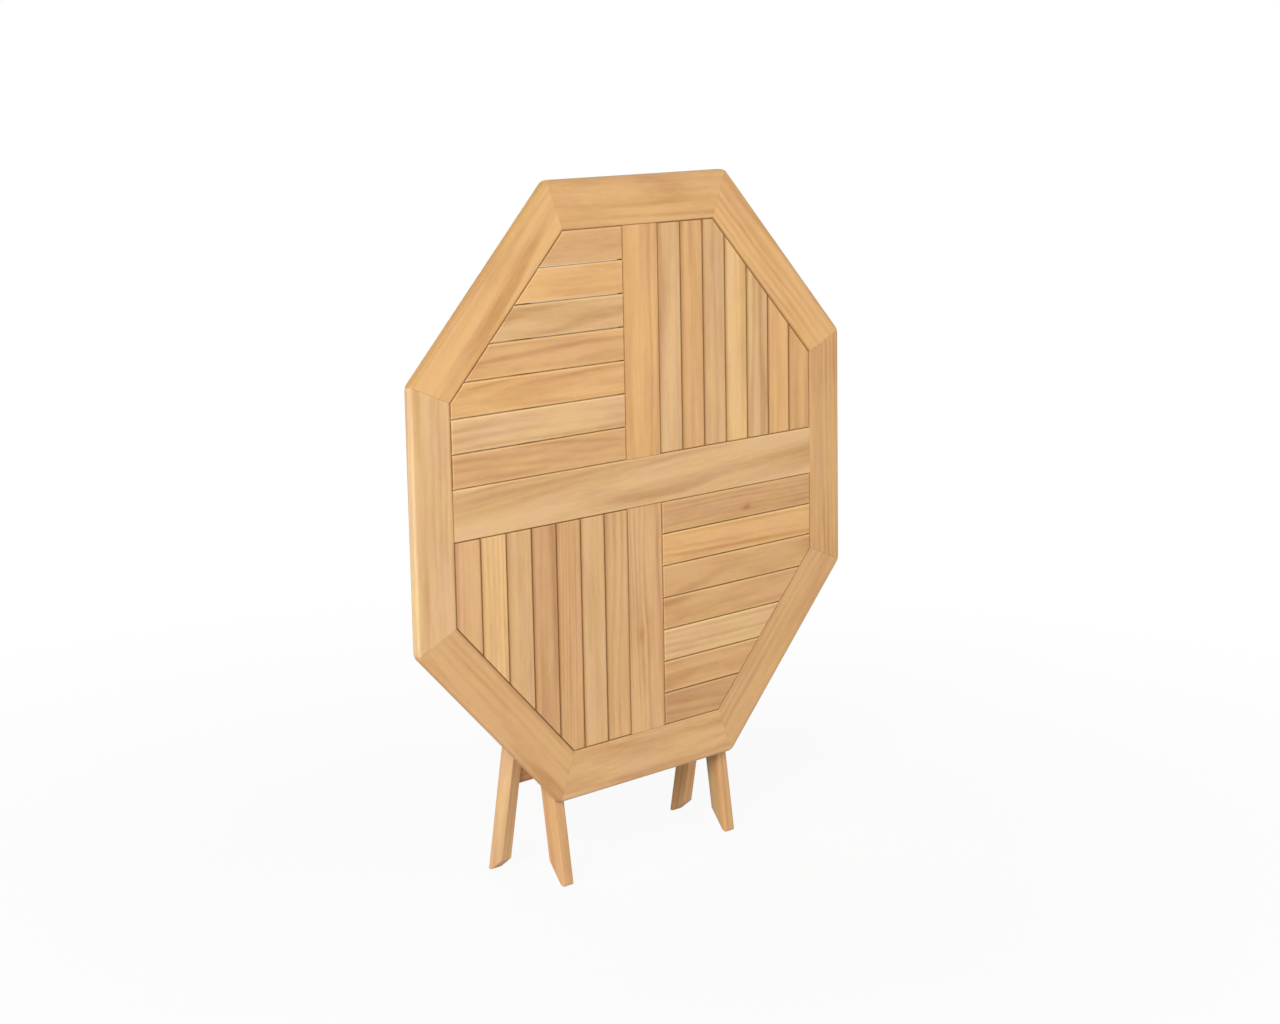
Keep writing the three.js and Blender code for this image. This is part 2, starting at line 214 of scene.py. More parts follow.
# Rings round the X axis: each has a strength of its own, and they fade out in patches
def growRings(tree, place, ringWidth, waviness):
    warp = combineVectors(tree, "SUBTRACT", pattern(tree, place, "warp", "Color"), (0.5, 0.5, 0.5))
    shift = combineVectors(tree, "MULTIPLY", warp, vectorOf(tree, y=waviness, z=waviness))
    warped = combineVectors(tree, "ADD", place, shift)
    fromPith = lengthOf(tree, combineVectors(tree, "MULTIPLY", warped, (0, 1, 1)))
    evenCount = calculate(tree, "DIVIDE", fromPith, ringWidth)
    drift = pattern(tree, place, "drift")
    count = calculate(tree, "MULTIPLY_ADD", drift, woodFigure["ringDrift"], evenCount)
    ringNumber = calculate(tree, "FLOOR", count)
    chance = add(tree, "ShaderNodeTexWhiteNoise", {"noise_dimensions": "1D"}, {"W": ringNumber})
    strength = remap(tree, chance.outputs["Value"], 0, 1, woodFigure["leastRing"], 1)
    phase = calculate(tree, "POWER", calculate(tree, "FRACT", count), woodFigure["ringLean"])
    wave = calculate(tree, "SINE", calculate(tree, "MULTIPLY", phase, math.pi))
    late = calculate(tree, "MULTIPLY", wave, wave)
    patches = pattern(tree, place, "patches")
    shown = remap(tree, patches, *woodFigure["patchRange"], woodFigure["leastPatch"], 1)
    return calculate(tree, "MULTIPLY", calculate(tree, "MULTIPLY", late, shown), strength)


def buildWoodFigure():
    tree, entry, result = newGroup("wood figure", "ShaderNodeTree", {
        "Vector": ("NodeSocketVector", None),
        "Ring Width": ("NodeSocketFloat", woodFigure["ringWidth"]),
        "Waviness": ("NodeSocketFloat", woodFigure["waviness"]),
        "Cloud Size": ("NodeSocketFloat", 1.0),
    }, {label: "NodeSocketFloat" for label in figureMasks + ("Height",)})
    place = entry["Vector"]
    rings = growRings(tree, place, entry["Ring Width"], entry["Waviness"])
    streaks = pattern(tree, place, "streaks")
    pores = remap(tree, pattern(tree, place, "fibres"), *woodFigure["poreRange"])
    cloudWidth = calculate(tree, "SQRT", entry["Cloud Size"])
    cloudSpread = vectorOf(tree, entry["Cloud Size"], cloudWidth, cloudWidth)
    shrunk = combineVectors(tree, "DIVIDE", place, cloudSpread)
    elsewhere = combineVectors(tree, "ADD", place, woodFigure["warmthStart"])
    raised = calculate(tree, "ADD", rings, streaks)
    masks = {
        "Rings": rings,
        "Streaks": streaks,
        "Flecks": pattern(tree, place, "flecks"),
        "Pores": pores,
        "Clouds": pattern(tree, shrunk, "clouds"),
        "Warmth": remap(tree, pattern(tree, elsewhere, "warmth"), *woodFigure["warmthRange"]),
        "Height": calculate(tree, "MULTIPLY_ADD", pores, -woodFigure["poreDepth"], raised),
    }
    for label, value in masks.items():
        feed(tree, result[label], value)
    return tree


# How far a face was cut across the grain, from its normal turned to the grain
def buildCutFaces():
    tree, entry, result = newGroup("cut faces", "ShaderNodeTree", {
        "Normal": ("NodeSocketVector", None),
        "Start": ("NodeSocketFloat", 0.55),
        "Full": ("NodeSocketFloat", 0.8),
    }, {"End Grain": "NodeSocketFloat"})
    sides = partsOf(tree, combineVectors(tree, "ABSOLUTE", entry["Normal"]))
    feed(tree, result["End Grain"], remap(tree, sides["X"], entry["Start"], entry["Full"]))
    return tree


# The tones of the teak, as they look in plain light
teakTones = {
    "straw": "#E4B983",
    "sand": "#DCB383",
    "honey": "#DFAF77",
    "rose": "#D8AE7E",
    "amber": "#D9AA75",
    "oak": "#D4A674",
    "wheat": "#D9AC7C",
    "umber": "#CFA172",
    "bark": "#C89A6C",
    "fawn": "#D6AE82",
}

# Shades are shares of the tone in red, green and blue
teakFinish = {
    "paler": (1.045, 1.062, 1.08),
    "deeper": (0.76, 0.655, 0.55),
    "pore": (0.55, 0.44, 0.33),
    "endGrain": (0.62, 0.53, 0.43),
    "golden": (1.02, 1.03, 0.90),
    "pink": (1.0, 0.97, 0.995),
    "depth": 0.12,  # how deep the wood is where it has no figure
    "ringShare": 0.72,
    "streakShare": 0.72,
    "fleckShare": 0.5,
    "cloudShare": 1.3,
    "poreShare": 0.22,
    "endShare": 0.75,
    "roughness": 0.56,
    "specular": 0.35,
    "bump": 0.35,
    "relief": 0.00025,
}


# The figure as colours round the base tone
def buildTeakColour():
    inputs = {label: ("NodeSocketFloat", 0.5) for label in figureMasks + ("End Grain",)}
    inputs["Base"] = ("NodeSocketColor", None)
    inputs["Cloud Share"] = ("NodeSocketFloat", teakFinish["cloudShare"])
    tree, entry, result = newGroup("teak colour", "ShaderNodeTree", inputs, {"Colour": "NodeSocketColor"})
    mask = calculate(tree, "MULTIPLY", entry["Rings"], teakFinish["ringShare"])
    shares = {"Streaks": teakFinish["streakShare"], "Flecks": teakFinish["fleckShare"],
              "Clouds": entry["Cloud Share"]}
    for label, share in shares.items():
        centred = calculate(tree, "SUBTRACT", entry[label], 0.5)
        mask = calculate(tree, "MULTIPLY_ADD", centred, share, mask)
    mask = calculate(tree, "ADD", mask, teakFinish["depth"], clamp=True)
    paler, deeper, pore, endGrain = (
        tint(tree, entry["Base"], teakFinish[shade]) for shade in ("paler", "deeper", "pore", "endGrain"))
    colour = mixColours(tree, paler, deeper, mask)
    golden, pink = (teakFinish[shade] + (1.0,) for shade in ("golden", "pink"))
    warmth = mixColours(tree, golden, pink, entry["Warmth"])
    colour = mixColours(tree, colour, warmth, 1.0, "MULTIPLY")
    poreMask = calculate(tree, "MULTIPLY", entry["Pores"], teakFinish["poreShare"])
    colour = mixColours(tree, colour, pore, poreMask)
    endMask = calculate(tree, "MULTIPLY", entry["End Grain"], teakFinish["endShare"])
    feed(tree, result["Colour"], mixColours(tree, colour, endGrain, endMask))
    return tree


# A band along an edge: it starts at Reach from the edge and is full at Margin
def buildEdgeBand():
    tree, entry, result = newGroup("edge band", "ShaderNodeTree", {
        "Distance": ("NodeSocketFloat", None),
        "Reach": ("NodeSocketFloat", 0.01),
        "Margin": ("NodeSocketFloat", 0.0),
        "Fall": ("NodeSocketFloat", 1.0),
    }, {"Band": "NodeSocketFloat"})
    near = remap(tree, entry["Distance"], entry["Reach"], entry["Margin"])
    feed(tree, result["Band"], calculate(tree, "POWER", near, entry["Fall"]))
    return tree


# Small knots: shares of the piece's length and width, half their own width, and how dark they are
knots = {
    "slat_lower_right_1": {"along": 0.554, "across": 0.31, "size": 0.0078, "strength": 0.65},
    "lower_centre_rail": {"along": 0.434, "across": 0.686, "size": 0.010, "strength": 0.4},
}

# Lengths are shares of the knot's size, and the core runs from its rim to where it is full
knotForm = {"stretch": 1.9, "reach": 3.2, "core": (1.2, 0.3), "bend": 0.7, "halo": 0.25,
            "shade": (0.68, 0.53, 0.35)}


# The grain bends round a knot, which is darkest at its middle and ends in a soft halo
def buildKnot():
    tree, entry, result = newGroup("knot", "ShaderNodeTree", {
        "Onwards": ("NodeSocketFloat", None),
        "Aside": ("NodeSocketFloat", None),
        "Size": ("NodeSocketFloat", 0.01),
        "Strength": ("NodeSocketFloat", 0.5),
    }, {"Bend": "NodeSocketFloat", "Mask": "NodeSocketFloat"})
    length = calculate(tree, "MULTIPLY", entry["Size"], knotForm["stretch"])
    far = lengthOf(tree, vectorOf(tree, calculate(tree, "DIVIDE", entry["Onwards"], length),
                                  calculate(tree, "DIVIDE", entry["Aside"], entry["Size"])))
    nearby = calculate(tree, "POWER", remap(tree, far, 0, knotForm["reach"], 1, 0), 2)
    pull = calculate(tree, "MULTIPLY", nearby, -knotForm["bend"])
    core = calculate(tree, "MULTIPLY", remap(tree, far, *knotForm["core"]), entry["Strength"])
    feed(tree, result["Bend"], calculate(tree, "MULTIPLY", entry["Aside"], pull))
    feed(tree, result["Mask"], calculate(tree, "MULTIPLY_ADD", nearby, knotForm["halo"], core))
    return tree


figureGroup = buildWoodFigure()
cutGroup = buildCutFaces()
colourGroup = buildTeakColour()
bandGroup = buildEdgeBand()
knotGroup = buildKnot()


# The piece in its own straight direction: its middle, its ends along X and its edges across it
def measure(name, straight):
    corners = [straight.to_matrix() @ vertex.co for vertex in nodes[name].data.vertices]
    along = [corner.x for corner in corners]
    across = [corner.y for corner in corners]
    return {"straight": straight, "middle": middleOf(name),
            "ends": (min(along), max(along)), "edges": (min(across), max(across))}


# Painted shade (dark) and painted highlight (lit) beside the joints with the neighbours, as shares of the
# tone, and the band beside them in metres
paintedJointShadeAndHighlight = {"dark": (0.43, 0.34, 0.21), "lit": (1.17, 1.33, 1.3)}
paintedJointBand = {"Reach": 0.0075, "Margin": 0.0006, "Fall": 1.5}

# Where the end of a rail meets a board the joint is tight, so the painted shade fades from the rail's
# edges
railEdges = measure("mid_rail", Euler((topTurn, 0, 0)))["edges"]
railHalf = (railEdges[1] - railEdges[0]) / 2
railPaintedJointBand = {"Reach": -0.005, "Margin": 0.0}

# Painted bands along the outer edge of a board, as shares of its tone against its face, and how far in
# they reach: painted shade on the edges turned away from the key lamp, a painted highlight on the lit
# left edge, and a darker, warmer band
rimShades = {
    "heart": ((0.66, 0.64, 0.55), 0.011),
    "paintedHighlight": ((0.91, 1.0, 1.1), 0.005),
    "paintedShade": ((0.82, 0.88, 0.97), 0.011),
}
rimMargin = 0.001

# Painted shadow of the top at the back of a leg's left side, as shares of its tone, against its other
# sides
heartSide = {"shade": (0.56, 0.61, 0.74), "facing": (-0.6, -0.95), "margin": 0.004}


# Mask of the painted shade (dark) or painted highlight (lit) beside the joints, near both long edges or
# the inner one alone
def paintedJointMask(tree, own, shape, wish):
    inner, outer = shape["edges"]
    distance = calculate(tree, "SUBTRACT", own["Y"], inner)
    if not wish["innerEdgeOnly"]:
        distance = calculate(tree, "MINIMUM", distance, calculate(tree, "SUBTRACT", outer, own["Y"]))
    mask = placeGroup(tree, bandGroup, dict(paintedJointBand, Distance=distance))["Band"]
    if wish["railMeets"]:
        aside = calculate(tree, "ABSOLUTE", calculate(tree, "SUBTRACT", own["X"], sum(shape["ends"]) / 2))
        beyond = calculate(tree, "SUBTRACT", aside, railHalf)
        clear = placeGroup(tree, bandGroup, dict(railPaintedJointBand, Distance=beyond))["Band"]
        mask = calculate(tree, "MULTIPLY", mask, clear)
    return calculate(tree, "MULTIPLY", mask, wish["jointShare"])


def rimMask(tree, own, shape, reach):
    distance = calculate(tree, "SUBTRACT", shape["edges"][1], own["Y"])
    return placeGroup(tree, bandGroup, {
        "Distance": distance, "Reach": reach, "Margin": rimMargin})["Band"]


def paintedLegShadowMask(tree, normal, own, shape):
    front, back = shape["edges"]
    facingLeft = remap(tree, partsOf(tree, normal)["X"], *heartSide["facing"])
    backwards = remap(tree, own["Y"], front + heartSide["margin"], back - heartSide["margin"])
    return calculate(tree, "MULTIPLY", facingLeft, backwards)


def growKnot(tree, place, own, shape, knot):
    (start, end), (inner, outer) = shape["ends"], shape["edges"]
    grown = placeGroup(tree, knotGroup, {
        "Onwards": calculate(tree, "SUBTRACT", own["X"], start + knot["along"] * (end - start)),
        "Aside": calculate(tree, "SUBTRACT", own["Y"], inner + knot["across"] * (outer - inner)),
        "Size": knot["size"], "Strength": knot["strength"]})
    bent = combineVectors(tree, "ADD", place, vectorOf(tree, y=grown["Bend"]))
    return bent, grown["Mask"]


def mapped(tree, kind, inputs):
    return add(tree, "ShaderNodeMapping", {"vector_type": kind}, inputs).outputs["Vector"]


# Where the piece lies in its tree, with the grain along X and the pith on that axis
def placeInTree(tree, place, middle, grain):
    towards = grain["tilt"].to_matrix() @ middle
    offset = Vector((grain["along"], *grain["pith"])) - towards
    return mapped(tree, "POINT", {"Vector": place, "Rotation": grain["tilt"], "Location": offset})


def woodColour(tree, base, place, normal, grain, wish):
    figure = placeGroup(tree, figureGroup, {
        "Vector": place, "Ring Width": grain["ringWidth"], "Cloud Size": wish["cloudSize"]})
    aim = mapped(tree, "NORMAL", {"Vector": normal, "Rotation": grain["tilt"]})
    cut = placeGroup(tree, cutGroup, {"Normal": aim})
    inputs = {label: figure[label] for label in figureMasks}
    inputs["End Grain"] = cut["End Grain"]
    inputs["Base"] = base
    inputs["Cloud Share"] = teakFinish["cloudShare"] * wish["clouding"]
    return placeGroup(tree, colourGroup, inputs)["Colour"], figure["Height"]


def teakMaterial(name, tone, shape, grain, wish):
    material, tree = newMaterial("teak " + name)
    base = paint(teakTones[tone])
    where = add(tree, "ShaderNodeTexCoord").outputs
    own = partsOf(tree, mapped(tree, "POINT", {
        "Vector": where["Object"], "Rotation": shape["straight"]}))
    place = placeInTree(tree, where["Object"], shape["middle"], grain)
    if name in knots:
        place, knotMask = growKnot(tree, place, own, shape, knots[name])
    colour, height = woodColour(tree, base, place, where["Normal"], grain, wish)
    if name in knots:
        colour = mixColours(tree, colour, scaled(base, knotForm["shade"]), knotMask)
    # Painted shade (dark) or painted highlight (lit) beside the joints with the neighbours
    if wish["jointShare"]:
        shade = scaled(base, paintedJointShadeAndHighlight[wish["joint"]])
        colour = mixColours(tree, colour, shade, paintedJointMask(tree, own, shape, wish))
    # Painted band along the outer edge: painted shade, a painted highlight, or a darker, warmer tone
    if wish["rim"]:
        shade, reach = rimShades[wish["rim"]]
        colour = tint(tree, colour, shade, rimMask(tree, own, shape, reach))
    # Painted shadow of the top on the back of the right inner leg's left side
    if wish["heartSide"]:
        colour = tint(tree, colour, heartSide["shade"], paintedLegShadowMask(tree, where["Normal"], own, shape))
    bump = add(tree, "ShaderNodeBump", None, {
        "Height": height, "Strength": teakFinish["bump"], "Distance": teakFinish["relief"]})
    shader = tree.nodes["Principled BSDF"].inputs
    feed(tree, shader["Base Color"], colour)
    feed(tree, shader["Normal"], bump.outputs["Normal"])
    feed(tree, shader["Roughness"], teakFinish["roughness"])
    feed(tree, shader["Specular IOR Level"], teakFinish["specular"])
    return material


# Where a piece may lie in its tree: degrees for the grain, metres for the pith
treePlaces = {
    "tip": (-2.6, 2.6),
    "swing": (-1.6, 1.6),
    "quarteredAside": (0.12, 0.2),  # quartered, the pith lies beside the piece
    "quarteredBelow": (-0.04, 0.04),
    "plainAside": (-0.06, 0.06),  # otherwise under it or over it
    "plainBelow": (0.04, 0.11),
    "along": (-5, 5),
    "ringWidths": (0.8, 1.35),  # against the ring width of the figure
}

# Each piece of teak is cut from its own place in its tree
luck = random.Random(17)


def drawGrain(turn, wish):
    tip = math.radians(luck.uniform(*treePlaces["tip"]))
    swing = math.radians(luck.uniform(*treePlaces["swing"]) - wish["slant"])
    side = luck.choice((-1, 1))
    if wish["quartered"]:
        aside = side * luck.uniform(*treePlaces["quarteredAside"])
        below = luck.uniform(*treePlaces["quarteredBelow"])
    else:
        aside = luck.uniform(*treePlaces["plainAside"])
        below = side * luck.uniform(*treePlaces["plainBelow"])
    ringWidth = woodFigure["ringWidth"] * luck.uniform(*treePlaces["ringWidths"])
    return {"tilt": Euler((turn[0], turn[1] + tip, turn[2] + swing)), "pith": (aside, below),
            "ringWidth": ringWidth, "along": luck.uniform(*treePlaces["along"])}


# What a piece of teak has unless it asks for something else
plainPiece = {
    "quartered": False,
    "slant": 0.0,  # degrees by which the grain runs out of the piece
    "clouding": 1.0,  # strength of the clouds
    "cloudSize": 1.0,
    # Painted shade (dark) or painted highlight (lit) beside the joints, its share, whether it lies on the
    # inner edge alone, and whether it fades where a rail meets
    "joint": "dark",
    "jointShare": 0.0,
    "innerEdgeOnly": False,  # a joint on its inner edge alone
    "railMeets": False,  # a rail ends at the middle of that edge
    # A painted band along the outer edge: painted shade, a painted highlight, or a darker, warmer tone
    "rim": None,
    "heartSide": False,
}


def sawn(name, tone, turn, **wishes):
    wish = dict(plainPiece, **wishes)
    material = teakMaterial(name, tone, measure(name, Euler(turn)), drawGrain(turn, wish), wish)
    nodes[name].data.materials.clear()
    nodes[name].data.materials.append(material)


# Tone, painted band on the outer edge, share of the painted joint shade along the inner edge, strength of
# the clouds
edgeBoards = {
    "top": ("amber", "paintedShade", 0.0, 1.0),
    "top_left": ("honey", "heart", 0.75, 1.0),
    "left": ("sand", "paintedHighlight", 0.75, 1.0),
    "bottom_left": ("oak", None, 0.75, 1.0),
    "bottom": ("wheat", "paintedShade", 0.1, 1.6),
    "bottom_right": ("oak", "paintedShade", 0.3, 1.0),
    "right": ("oak", "paintedShade", 0.3, 1.0),
    "top_right": ("honey", "paintedShade", 0.75, 1.0),
}
for eighths, (side, (tone, rim, jointShare, clouding)) in enumerate(edgeBoards.items()):
    sawn("board_" + side, tone, (topTurn, 0, -eighths * eighthTurn), rim=rim, clouding=clouding,
         jointShare=jointShare, innerEdgeOnly=True, railMeets=eighths % 2 == 0)

# Tone, quarter turns, painted light beside the joints (dark for painted shade, lit for a painted
# highlight), slant of the grain, strength and size of the clouds
rails = {
    "mid_rail": ("sand", 0, "lit", 4.5, 2.4, 3.5),
    "upper_centre_rail": ("honey", 1, "dark", 0, 1.4, 1.5),
    "lower_centre_rail": ("wheat", 1, "dark", 1, 1, 1),
}
# Share of the painted shade or painted highlight beside the rails' joints
railPaintedJointShare = 0.5
for name, (tone, turns, joint, slant, clouding, cloudSize) in rails.items():
    sawn(name, tone, (topTurn, 0, -turns * quarterTurn), joint=joint, jointShare=railPaintedJointShare,
         slant=slant, clouding=clouding, cloudSize=cloudSize)

# From the rail outwards, turning anticlockwise from the upper right quarter
slatTones = {
    "upper_right": "sand amber rose straw sand honey amber",
    "upper_left": "oak sand honey amber rose honey oak",
    "lower_left": "wheat rose oak umber rose straw wheat",
    "lower_right": "umber honey oak oak sand oak bark",
}
# Upright slats get painted shade beside their joints, level ones a painted highlight, with its share
slatPaintedJoints = {"upright": ("dark", 0.75), "level": ("lit", 0.8)}
quarteredChance = 0.3
for turns, (quarter, tones) in enumerate(slatTones.items(), start=1):
    joint, jointShare = slatPaintedJoints["upright" if turns % 2 == 1 else "level"]
    for number, tone in enumerate(tones.split(), start=1):
        sawn(f"slat_{quarter}_{number}", tone, (topTurn, 0, -turns * quarterTurn),
             quartered=luck.random() < quarteredChance, joint=joint, jointShare=jointShare)

# Tones of the outer and the inner leg
legTones = {"left": ("fawn", "umber"), "right": ("oak", "oak")}
for hand, (outerTone, innerTone) in legTones.items():
    sawn("batten_" + hand, "oak", (topTurn, 0, -quarterTurn), quartered=True)
    sawn("outer_leg_" + hand, outerTone, (-legSplay, quarterTurn, 0))
    sawn("inner_leg_" + hand, innerTone, (legSplay, quarterTurn, 0), heartSide=hand == "right")
sawn("outer_stretcher", "oak", (-legSplay, 0, 0))
sawn("outer_head_rail", "amber", (-legSplay, 0, 0))
sawn("stop_rail", "oak", (legSplay, 0, 0))
sawn("catch_rail", "amber", (legSplay, 0, 0), quartered=True)
print("teak done:", len([m for m in bpy.data.materials if m.name.startswith("teak ")]), "pieces")


# Satin stainless steel of the rod, bolts, nuts, washers and screws
steelFinish = {
    "colour": "#C9C8C4",
    "roughness": 0.32,
    "roughnessSpread": 0.06,
    "scratches": 900,  # in a metre
    "scratchRange": (0.3, 0.7),
}


def steelMaterial():
    material, tree = newMaterial("satin steel")
    where = add(tree, "ShaderNodeTexCoord").outputs["Object"]
    often = steelFinish["scratches"]
    scratches = stretchedNoise(tree, where, often, often, 2.0)["Fac"]
    middle, spread = steelFinish["roughness"], steelFinish["roughnessSpread"]
    roughness = remap(tree, scratches, *steelFinish["scratchRange"], middle - spread, middle + spread)
    shader = tree.nodes["Principled BSDF"].inputs
    feed(tree, shader["Base Color"], paint(steelFinish["colour"]))
    feed(tree, shader["Roughness"], roughness)
    feed(tree, shader["Metallic"], 1.0)
    return material


steel = steelMaterial()
fittings = ["pivot_rod"] + [f"{name}_{hand}" for hand in ("left", "right") for name in (
    "hinge_bolt", "hinge_nut", "hinge_washer", "pivot_cap_nut", "pivot_washer")]
for name in fittings:
    nodes[name].data.materials.clear()
    nodes[name].data.materials.append(steel)
print("steel done:", len(fittings), "fittings")


# Small cross-head screws: a head on every point, aimed by the point's own direction
screwForm = {
    "Head Diameter": 0.0095,
    "Head Height": 0.002,
    "Chamfer": 0.0004,
    "Cross Length": 0.0055,
    "Cross Width": 0.0011,
    "Cross Level": 0.72,  # middle of the cutter over the head's middle, a share of the head's height
}
screwSides = 24
screwSeed = 4


# A flat head with a chamfer, and two crossed bars taken out of it
def crossHead(tree, entry):
    height = entry["Head Height"]
    radius = calculate(tree, "DIVIDE", entry["Head Diameter"], 2)
    shoulder = add(tree, "GeometryNodeMeshCone", {"fill_type": "NGON"}, {
        "Vertices": screwSides, "Depth": entry["Chamfer"], "Radius Bottom": radius,
        "Radius Top": calculate(tree, "SUBTRACT", radius, entry["Chamfer"])})
    barrel = add(tree, "GeometryNodeMeshCylinder", {"fill_type": "NGON"}, {
        "Vertices": screwSides, "Radius": radius, "Depth": height})
    raised = add(tree, "GeometryNodeTransform", None, {
        "Geometry": shoulder.outputs["Mesh"],
        "Translation": vectorOf(tree, z=calculate(tree, "DIVIDE", height, 2))})
    joined = add(tree, "GeometryNodeMeshBoolean", {"operation": "UNION", "solver": "EXACT"})
    tree.links.new(barrel.outputs["Mesh"], joined.inputs["Mesh 2"])
    tree.links.new(raised.outputs["Geometry"], joined.inputs["Mesh 2"])
    head = add(tree, "GeometryNodeMeshBoolean", {"operation": "DIFFERENCE", "solver": "EXACT"}, {
        "Mesh 1": joined.outputs["Mesh"]})
    bar = add(tree, "GeometryNodeMeshCube", None, {
        "Size": vectorOf(tree, entry["Cross Length"], entry["Cross Width"], height)})
    level = vectorOf(tree, z=calculate(tree, "MULTIPLY", height, entry["Cross Level"]))
    for spin in (0, quarterTurn):
        turned = add(tree, "GeometryNodeTransform", None, {
            "Geometry": bar.outputs["Mesh"], "Translation": level, "Rotation": (0, 0, spin)})
        tree.links.new(turned.outputs["Geometry"], head.inputs["Mesh 2"])
    return head.outputs["Mesh"]


# Along the point's direction, and turned by chance about it
def headTurn(tree, entry):
    aim = add(tree, "GeometryNodeInputNamedAttribute", {"data_type": "FLOAT_VECTOR"}, {"Name": "aim"})
    align = add(tree, "FunctionNodeAlignRotationToVector", {"axis": "Z"}, {
        "Vector": aim.outputs["Attribute"]})
    chance = add(tree, "FunctionNodeRandomValue", {"data_type": "FLOAT"})
    numbers = {s.name: s for s in chance.inputs if s.type == "VALUE"}
    feed(tree, numbers["Min"], 0.0)
    feed(tree, numbers["Max"], math.pi)
    feed(tree, chance.inputs["Seed"], entry["Seed"])
    angle = next(s for s in chance.outputs if s.type == "VALUE")
    spun = add(tree, "FunctionNodeRotateRotation", {"rotation_space": "LOCAL"}, {
        "Rotation": align.outputs["Rotation"], "Rotate By": vectorOf(tree, z=angle)})
    return spun.outputs["Rotation"]


def screwHeadTree():
    inputs = {
        "Places": ("NodeSocketGeometry", None),
        "Seed": ("NodeSocketInt", screwSeed),
        "Material": ("NodeSocketMaterial", None),
    }
    inputs.update({label: ("NodeSocketFloat", value) for label, value in screwForm.items()})
    tree, entry, result = newGroup("cross screws", "GeometryNodeTree", inputs,
                                   {"Geometry": "NodeSocketGeometry"})
    stand = add(tree, "GeometryNodeInstanceOnPoints", None, {
        "Points": entry["Places"], "Instance": crossHead(tree, entry),
        "Rotation": headTurn(tree, entry)})
    real = add(tree, "GeometryNodeRealizeInstances", None, {
        "Geometry": stand.outputs["Instances"]})
    coloured = add(tree, "GeometryNodeSetMaterial", None, {
        "Geometry": real.outputs["Geometry"], "Material": entry["Material"]})
    feed(tree, result["Geometry"], coloured.outputs["Geometry"])
    return tree


def setInput(modifier, label, value):
    for item in modifier.node_group.interface.items_tree:
        if item.item_type == "SOCKET" and item.in_out == "INPUT" and item.name == label:
            modifier[item.identifier] = value


def placeScrews(name, places, body):
    mesh = bpy.data.meshes.new(name)
    mesh.from_pydata([point for point, _ in places], [], [])
    aims = mesh.attributes.new("aim", "FLOAT_VECTOR", "POINT")
    for item, (_, direction) in zip(aims.data, places):
        item.vector = direction
    seeds = bpy.data.objects.new(name + " places", mesh)
    bpy.context.collection.objects.link(seeds)
    modifier = seeds.modifiers.new("heads", "NODES")
    modifier.node_group = screwTree
    setInput(modifier, "Material", steel)
    shown = seeds.evaluated_get(bpy.context.evaluated_depsgraph_get())
    made = bpy.data.meshes.new_from_object(shown)
    seeds.modifiers.remove(modifier)
    bpy.data.objects.remove(seeds)
    piece = bpy.data.objects.new(name, made)
    bpy.context.collection.objects.link(piece)
    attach(piece, body)


screwTree = screwHeadTree()

# How far the middle of a head lies over the wood
headUp = 0.0002


def reachAlong(name, direction):
    corners = [nodes[name].matrix_world @ v.co for v in nodes[name].data.vertices]
    return max(corner.dot(direction) for corner in corners)


def screwRow(piece, outwards, start, run, steps):
    level = reachAlong(piece, outwards) + headUp
    points = [start + run * step for step in steps]
    return [(point + outwards * (level - point.dot(outwards)), outwards) for point in points]


# Screws up through the battens into the boards and the mid rail
battenScrews = {"fromMiddle": (0.543, 0.034)}
places = []
for hand in ("left", "right"):
    batten = "batten_" + hand
    start = Vector((middleOf(batten).x, faceMiddle.y, faceMiddle.z))
    steps = [sign * far for far in battenScrews["fromMiddle"] for sign in (-1, 1)]
    places += screwRow(batten, -faceNormal, start, faceUp, steps)
placeScrews("batten_screws", places, "top")

# Screws through the stop rail into the inner legs, in the directions of those legs
stopScrews = {"apart": 0.030}
innerLegBack = Vector((0, math.cos(legSplay), -math.sin(legSplay)))
innerLegRun = Vector((0, math.sin(legSplay), math.cos(legSplay)))
places = []
for hand in ("left", "right"):
    middle = middleOf("stop_rail")
    start = Vector((middleOf("inner_leg_" + hand).x, middle.y, middle.z))
    steps = [sign * stopScrews["apart"] / 2 for sign in (-1, 1)]
    places += screwRow("stop_rail", innerLegBack, start, innerLegRun, steps)
placeScrews("stop_rail_screws", places, "inner_frame")
print("screws done")

# The floor and the light of a plain white studio
studio = {
    "floorSize": 60.0,
    "floorColour": "#C8C7C5",
    "floorGlow": 0.92,  # how far the floor is plain white to the camera near the table
    "shadowReach": (0.9, 2.8),  # past this distance it is white all over
    "skyLevel": 0.28,
    "aim": (0, 0, 0.85),
}
lamps = {
    "key": {"place": (-8.2, -3.83, 5.07), "size": 4.4, "power": 978},
    "fill": {"place": (1.98, -5.45, 2.4), "size": 3.4, "power": 90},
    "back": {"place": (2.4, 7.2, 3.6), "size": 4.4, "power": 330},
}
white = (1, 1, 1, 1)


def directView(tree):
    path = add(tree, "ShaderNodeLightPath").outputs
    seen = calculate(tree, "MAXIMUM", path["Is Camera Ray"], path["Is Glossy Ray"])
    return calculate(tree, "MAXIMUM", seen, path["Is Transmission Ray"])


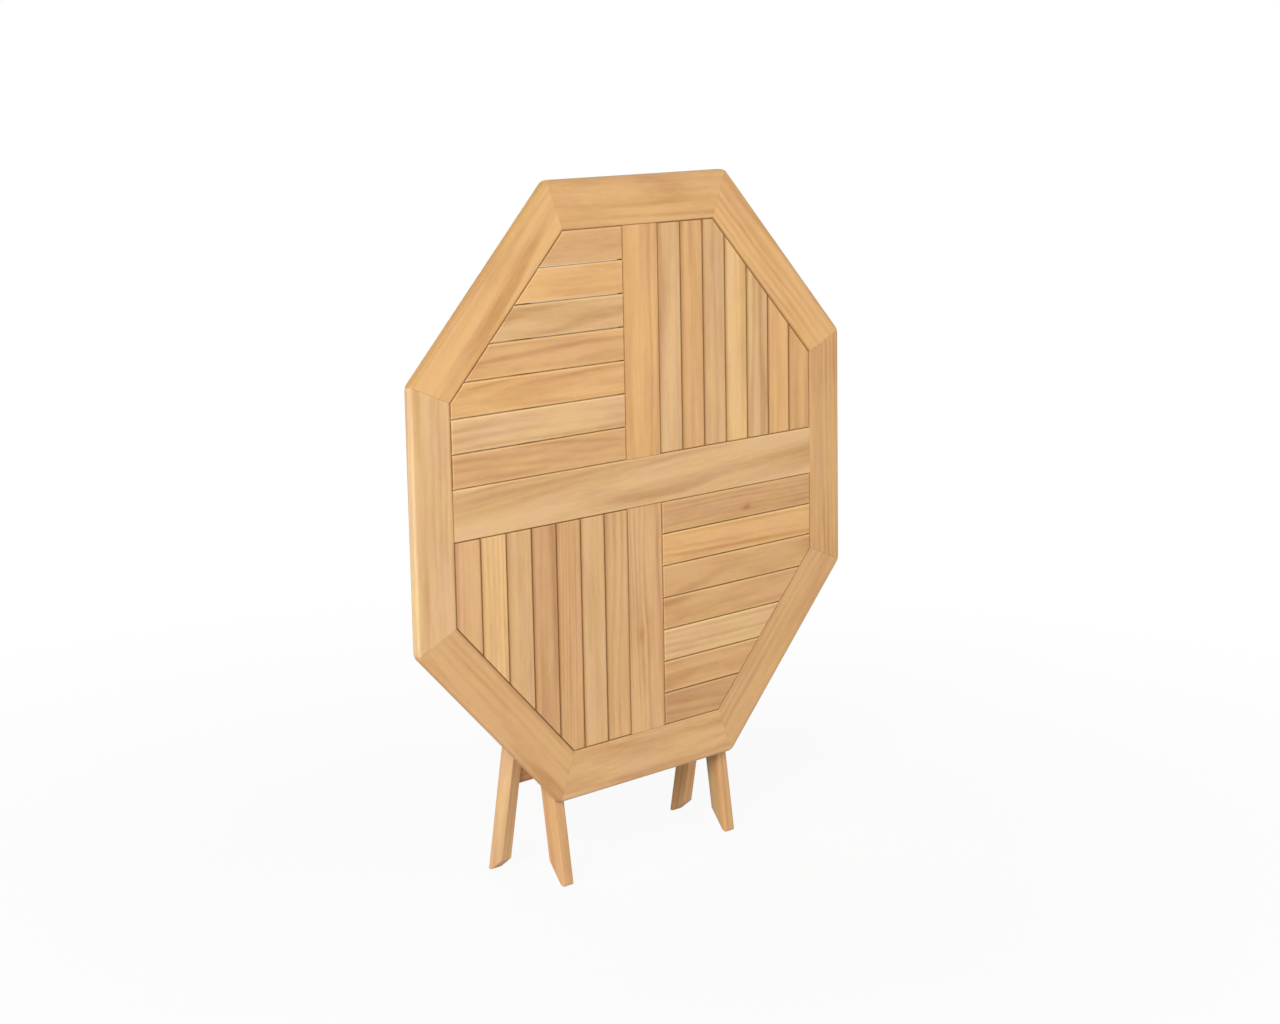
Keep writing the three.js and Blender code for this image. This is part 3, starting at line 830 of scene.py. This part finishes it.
def lightWorld():
    world = bpy.data.worlds.new("studio")
    bpy.context.scene.world = world
    world.use_nodes = True
    tree = world.node_tree
    tree.nodes.clear()
    light = add(tree, "ShaderNodeBackground", None, {"Color": white, "Strength": studio["skyLevel"]})
    ground = add(tree, "ShaderNodeBackground", None, {"Color": white, "Strength": 1.0})
    add(tree, "ShaderNodeOutputWorld", None, {
        "Surface": mixShaders(tree, directView(tree), light, ground)})


def layFloor():
    half = studio["floorSize"] / 2
    mesh = bpy.data.meshes.new("floor")
    mesh.from_pydata([(-half, -half, 0), (half, -half, 0), (half, half, 0), (-half, half, 0)],
                     [], [(0, 1, 2, 3)])
    floor = bpy.data.objects.new("floor", mesh)
    bpy.context.collection.objects.link(floor)
    material, tree = newMaterial("pale floor")
    tree.nodes.clear()
    matt = add(tree, "ShaderNodeBsdfDiffuse", None, {"Color": paint(studio["floorColour"])})
    glow = add(tree, "ShaderNodeEmission", None, {"Color": white, "Strength": 1.0})
    away = lengthOf(tree, add(tree, "ShaderNodeTexCoord").outputs["Object"])
    whiteness = remap(tree, away, *studio["shadowReach"], studio["floorGlow"], 1.0)
    share = calculate(tree, "MULTIPLY", directView(tree), whiteness)
    add(tree, "ShaderNodeOutputMaterial", None, {"Surface": mixShaders(tree, share, matt, glow)})
    mesh.materials.append(material)


def hangLamp(name, place, size, power):
    lamp = bpy.data.lights.new(name, "AREA")
    lamp.shape = "SQUARE"
    lamp.size = size
    lamp.energy = power
    holder = bpy.data.objects.new(name, lamp)
    bpy.context.collection.objects.link(holder)
    holder.location = place
    holder.rotation_euler = (Vector(studio["aim"]) - Vector(place)).to_track_quat("-Z", "Y").to_euler()
    holder.visible_camera = False


lightWorld()
layFloor()
for name, lamp in lamps.items():
    hangLamp(name, lamp["place"], lamp["size"], lamp["power"])

# The camera stands to the left of the table, a little above its top, and looks slightly down
cameraStand = {"place": (-4.1455, -4.0453, 1.9521), "turn": (78.898, -0.024, -46.182),
               "lens": 71.37, "film": 36}
eye = bpy.data.cameras.new("camera")
eye.lens = cameraStand["lens"]
eye.sensor_fit = "HORIZONTAL"
eye.sensor_width = cameraStand["film"]
camera = bpy.data.objects.new("camera", eye)
camera.location = cameraStand["place"]
camera.rotation_euler = [math.radians(angle) for angle in cameraStand["turn"]]
bpy.context.collection.objects.link(camera)
bpy.context.scene.camera = camera
bpy.context.scene.view_settings.view_transform = "Standard"
print("studio done")
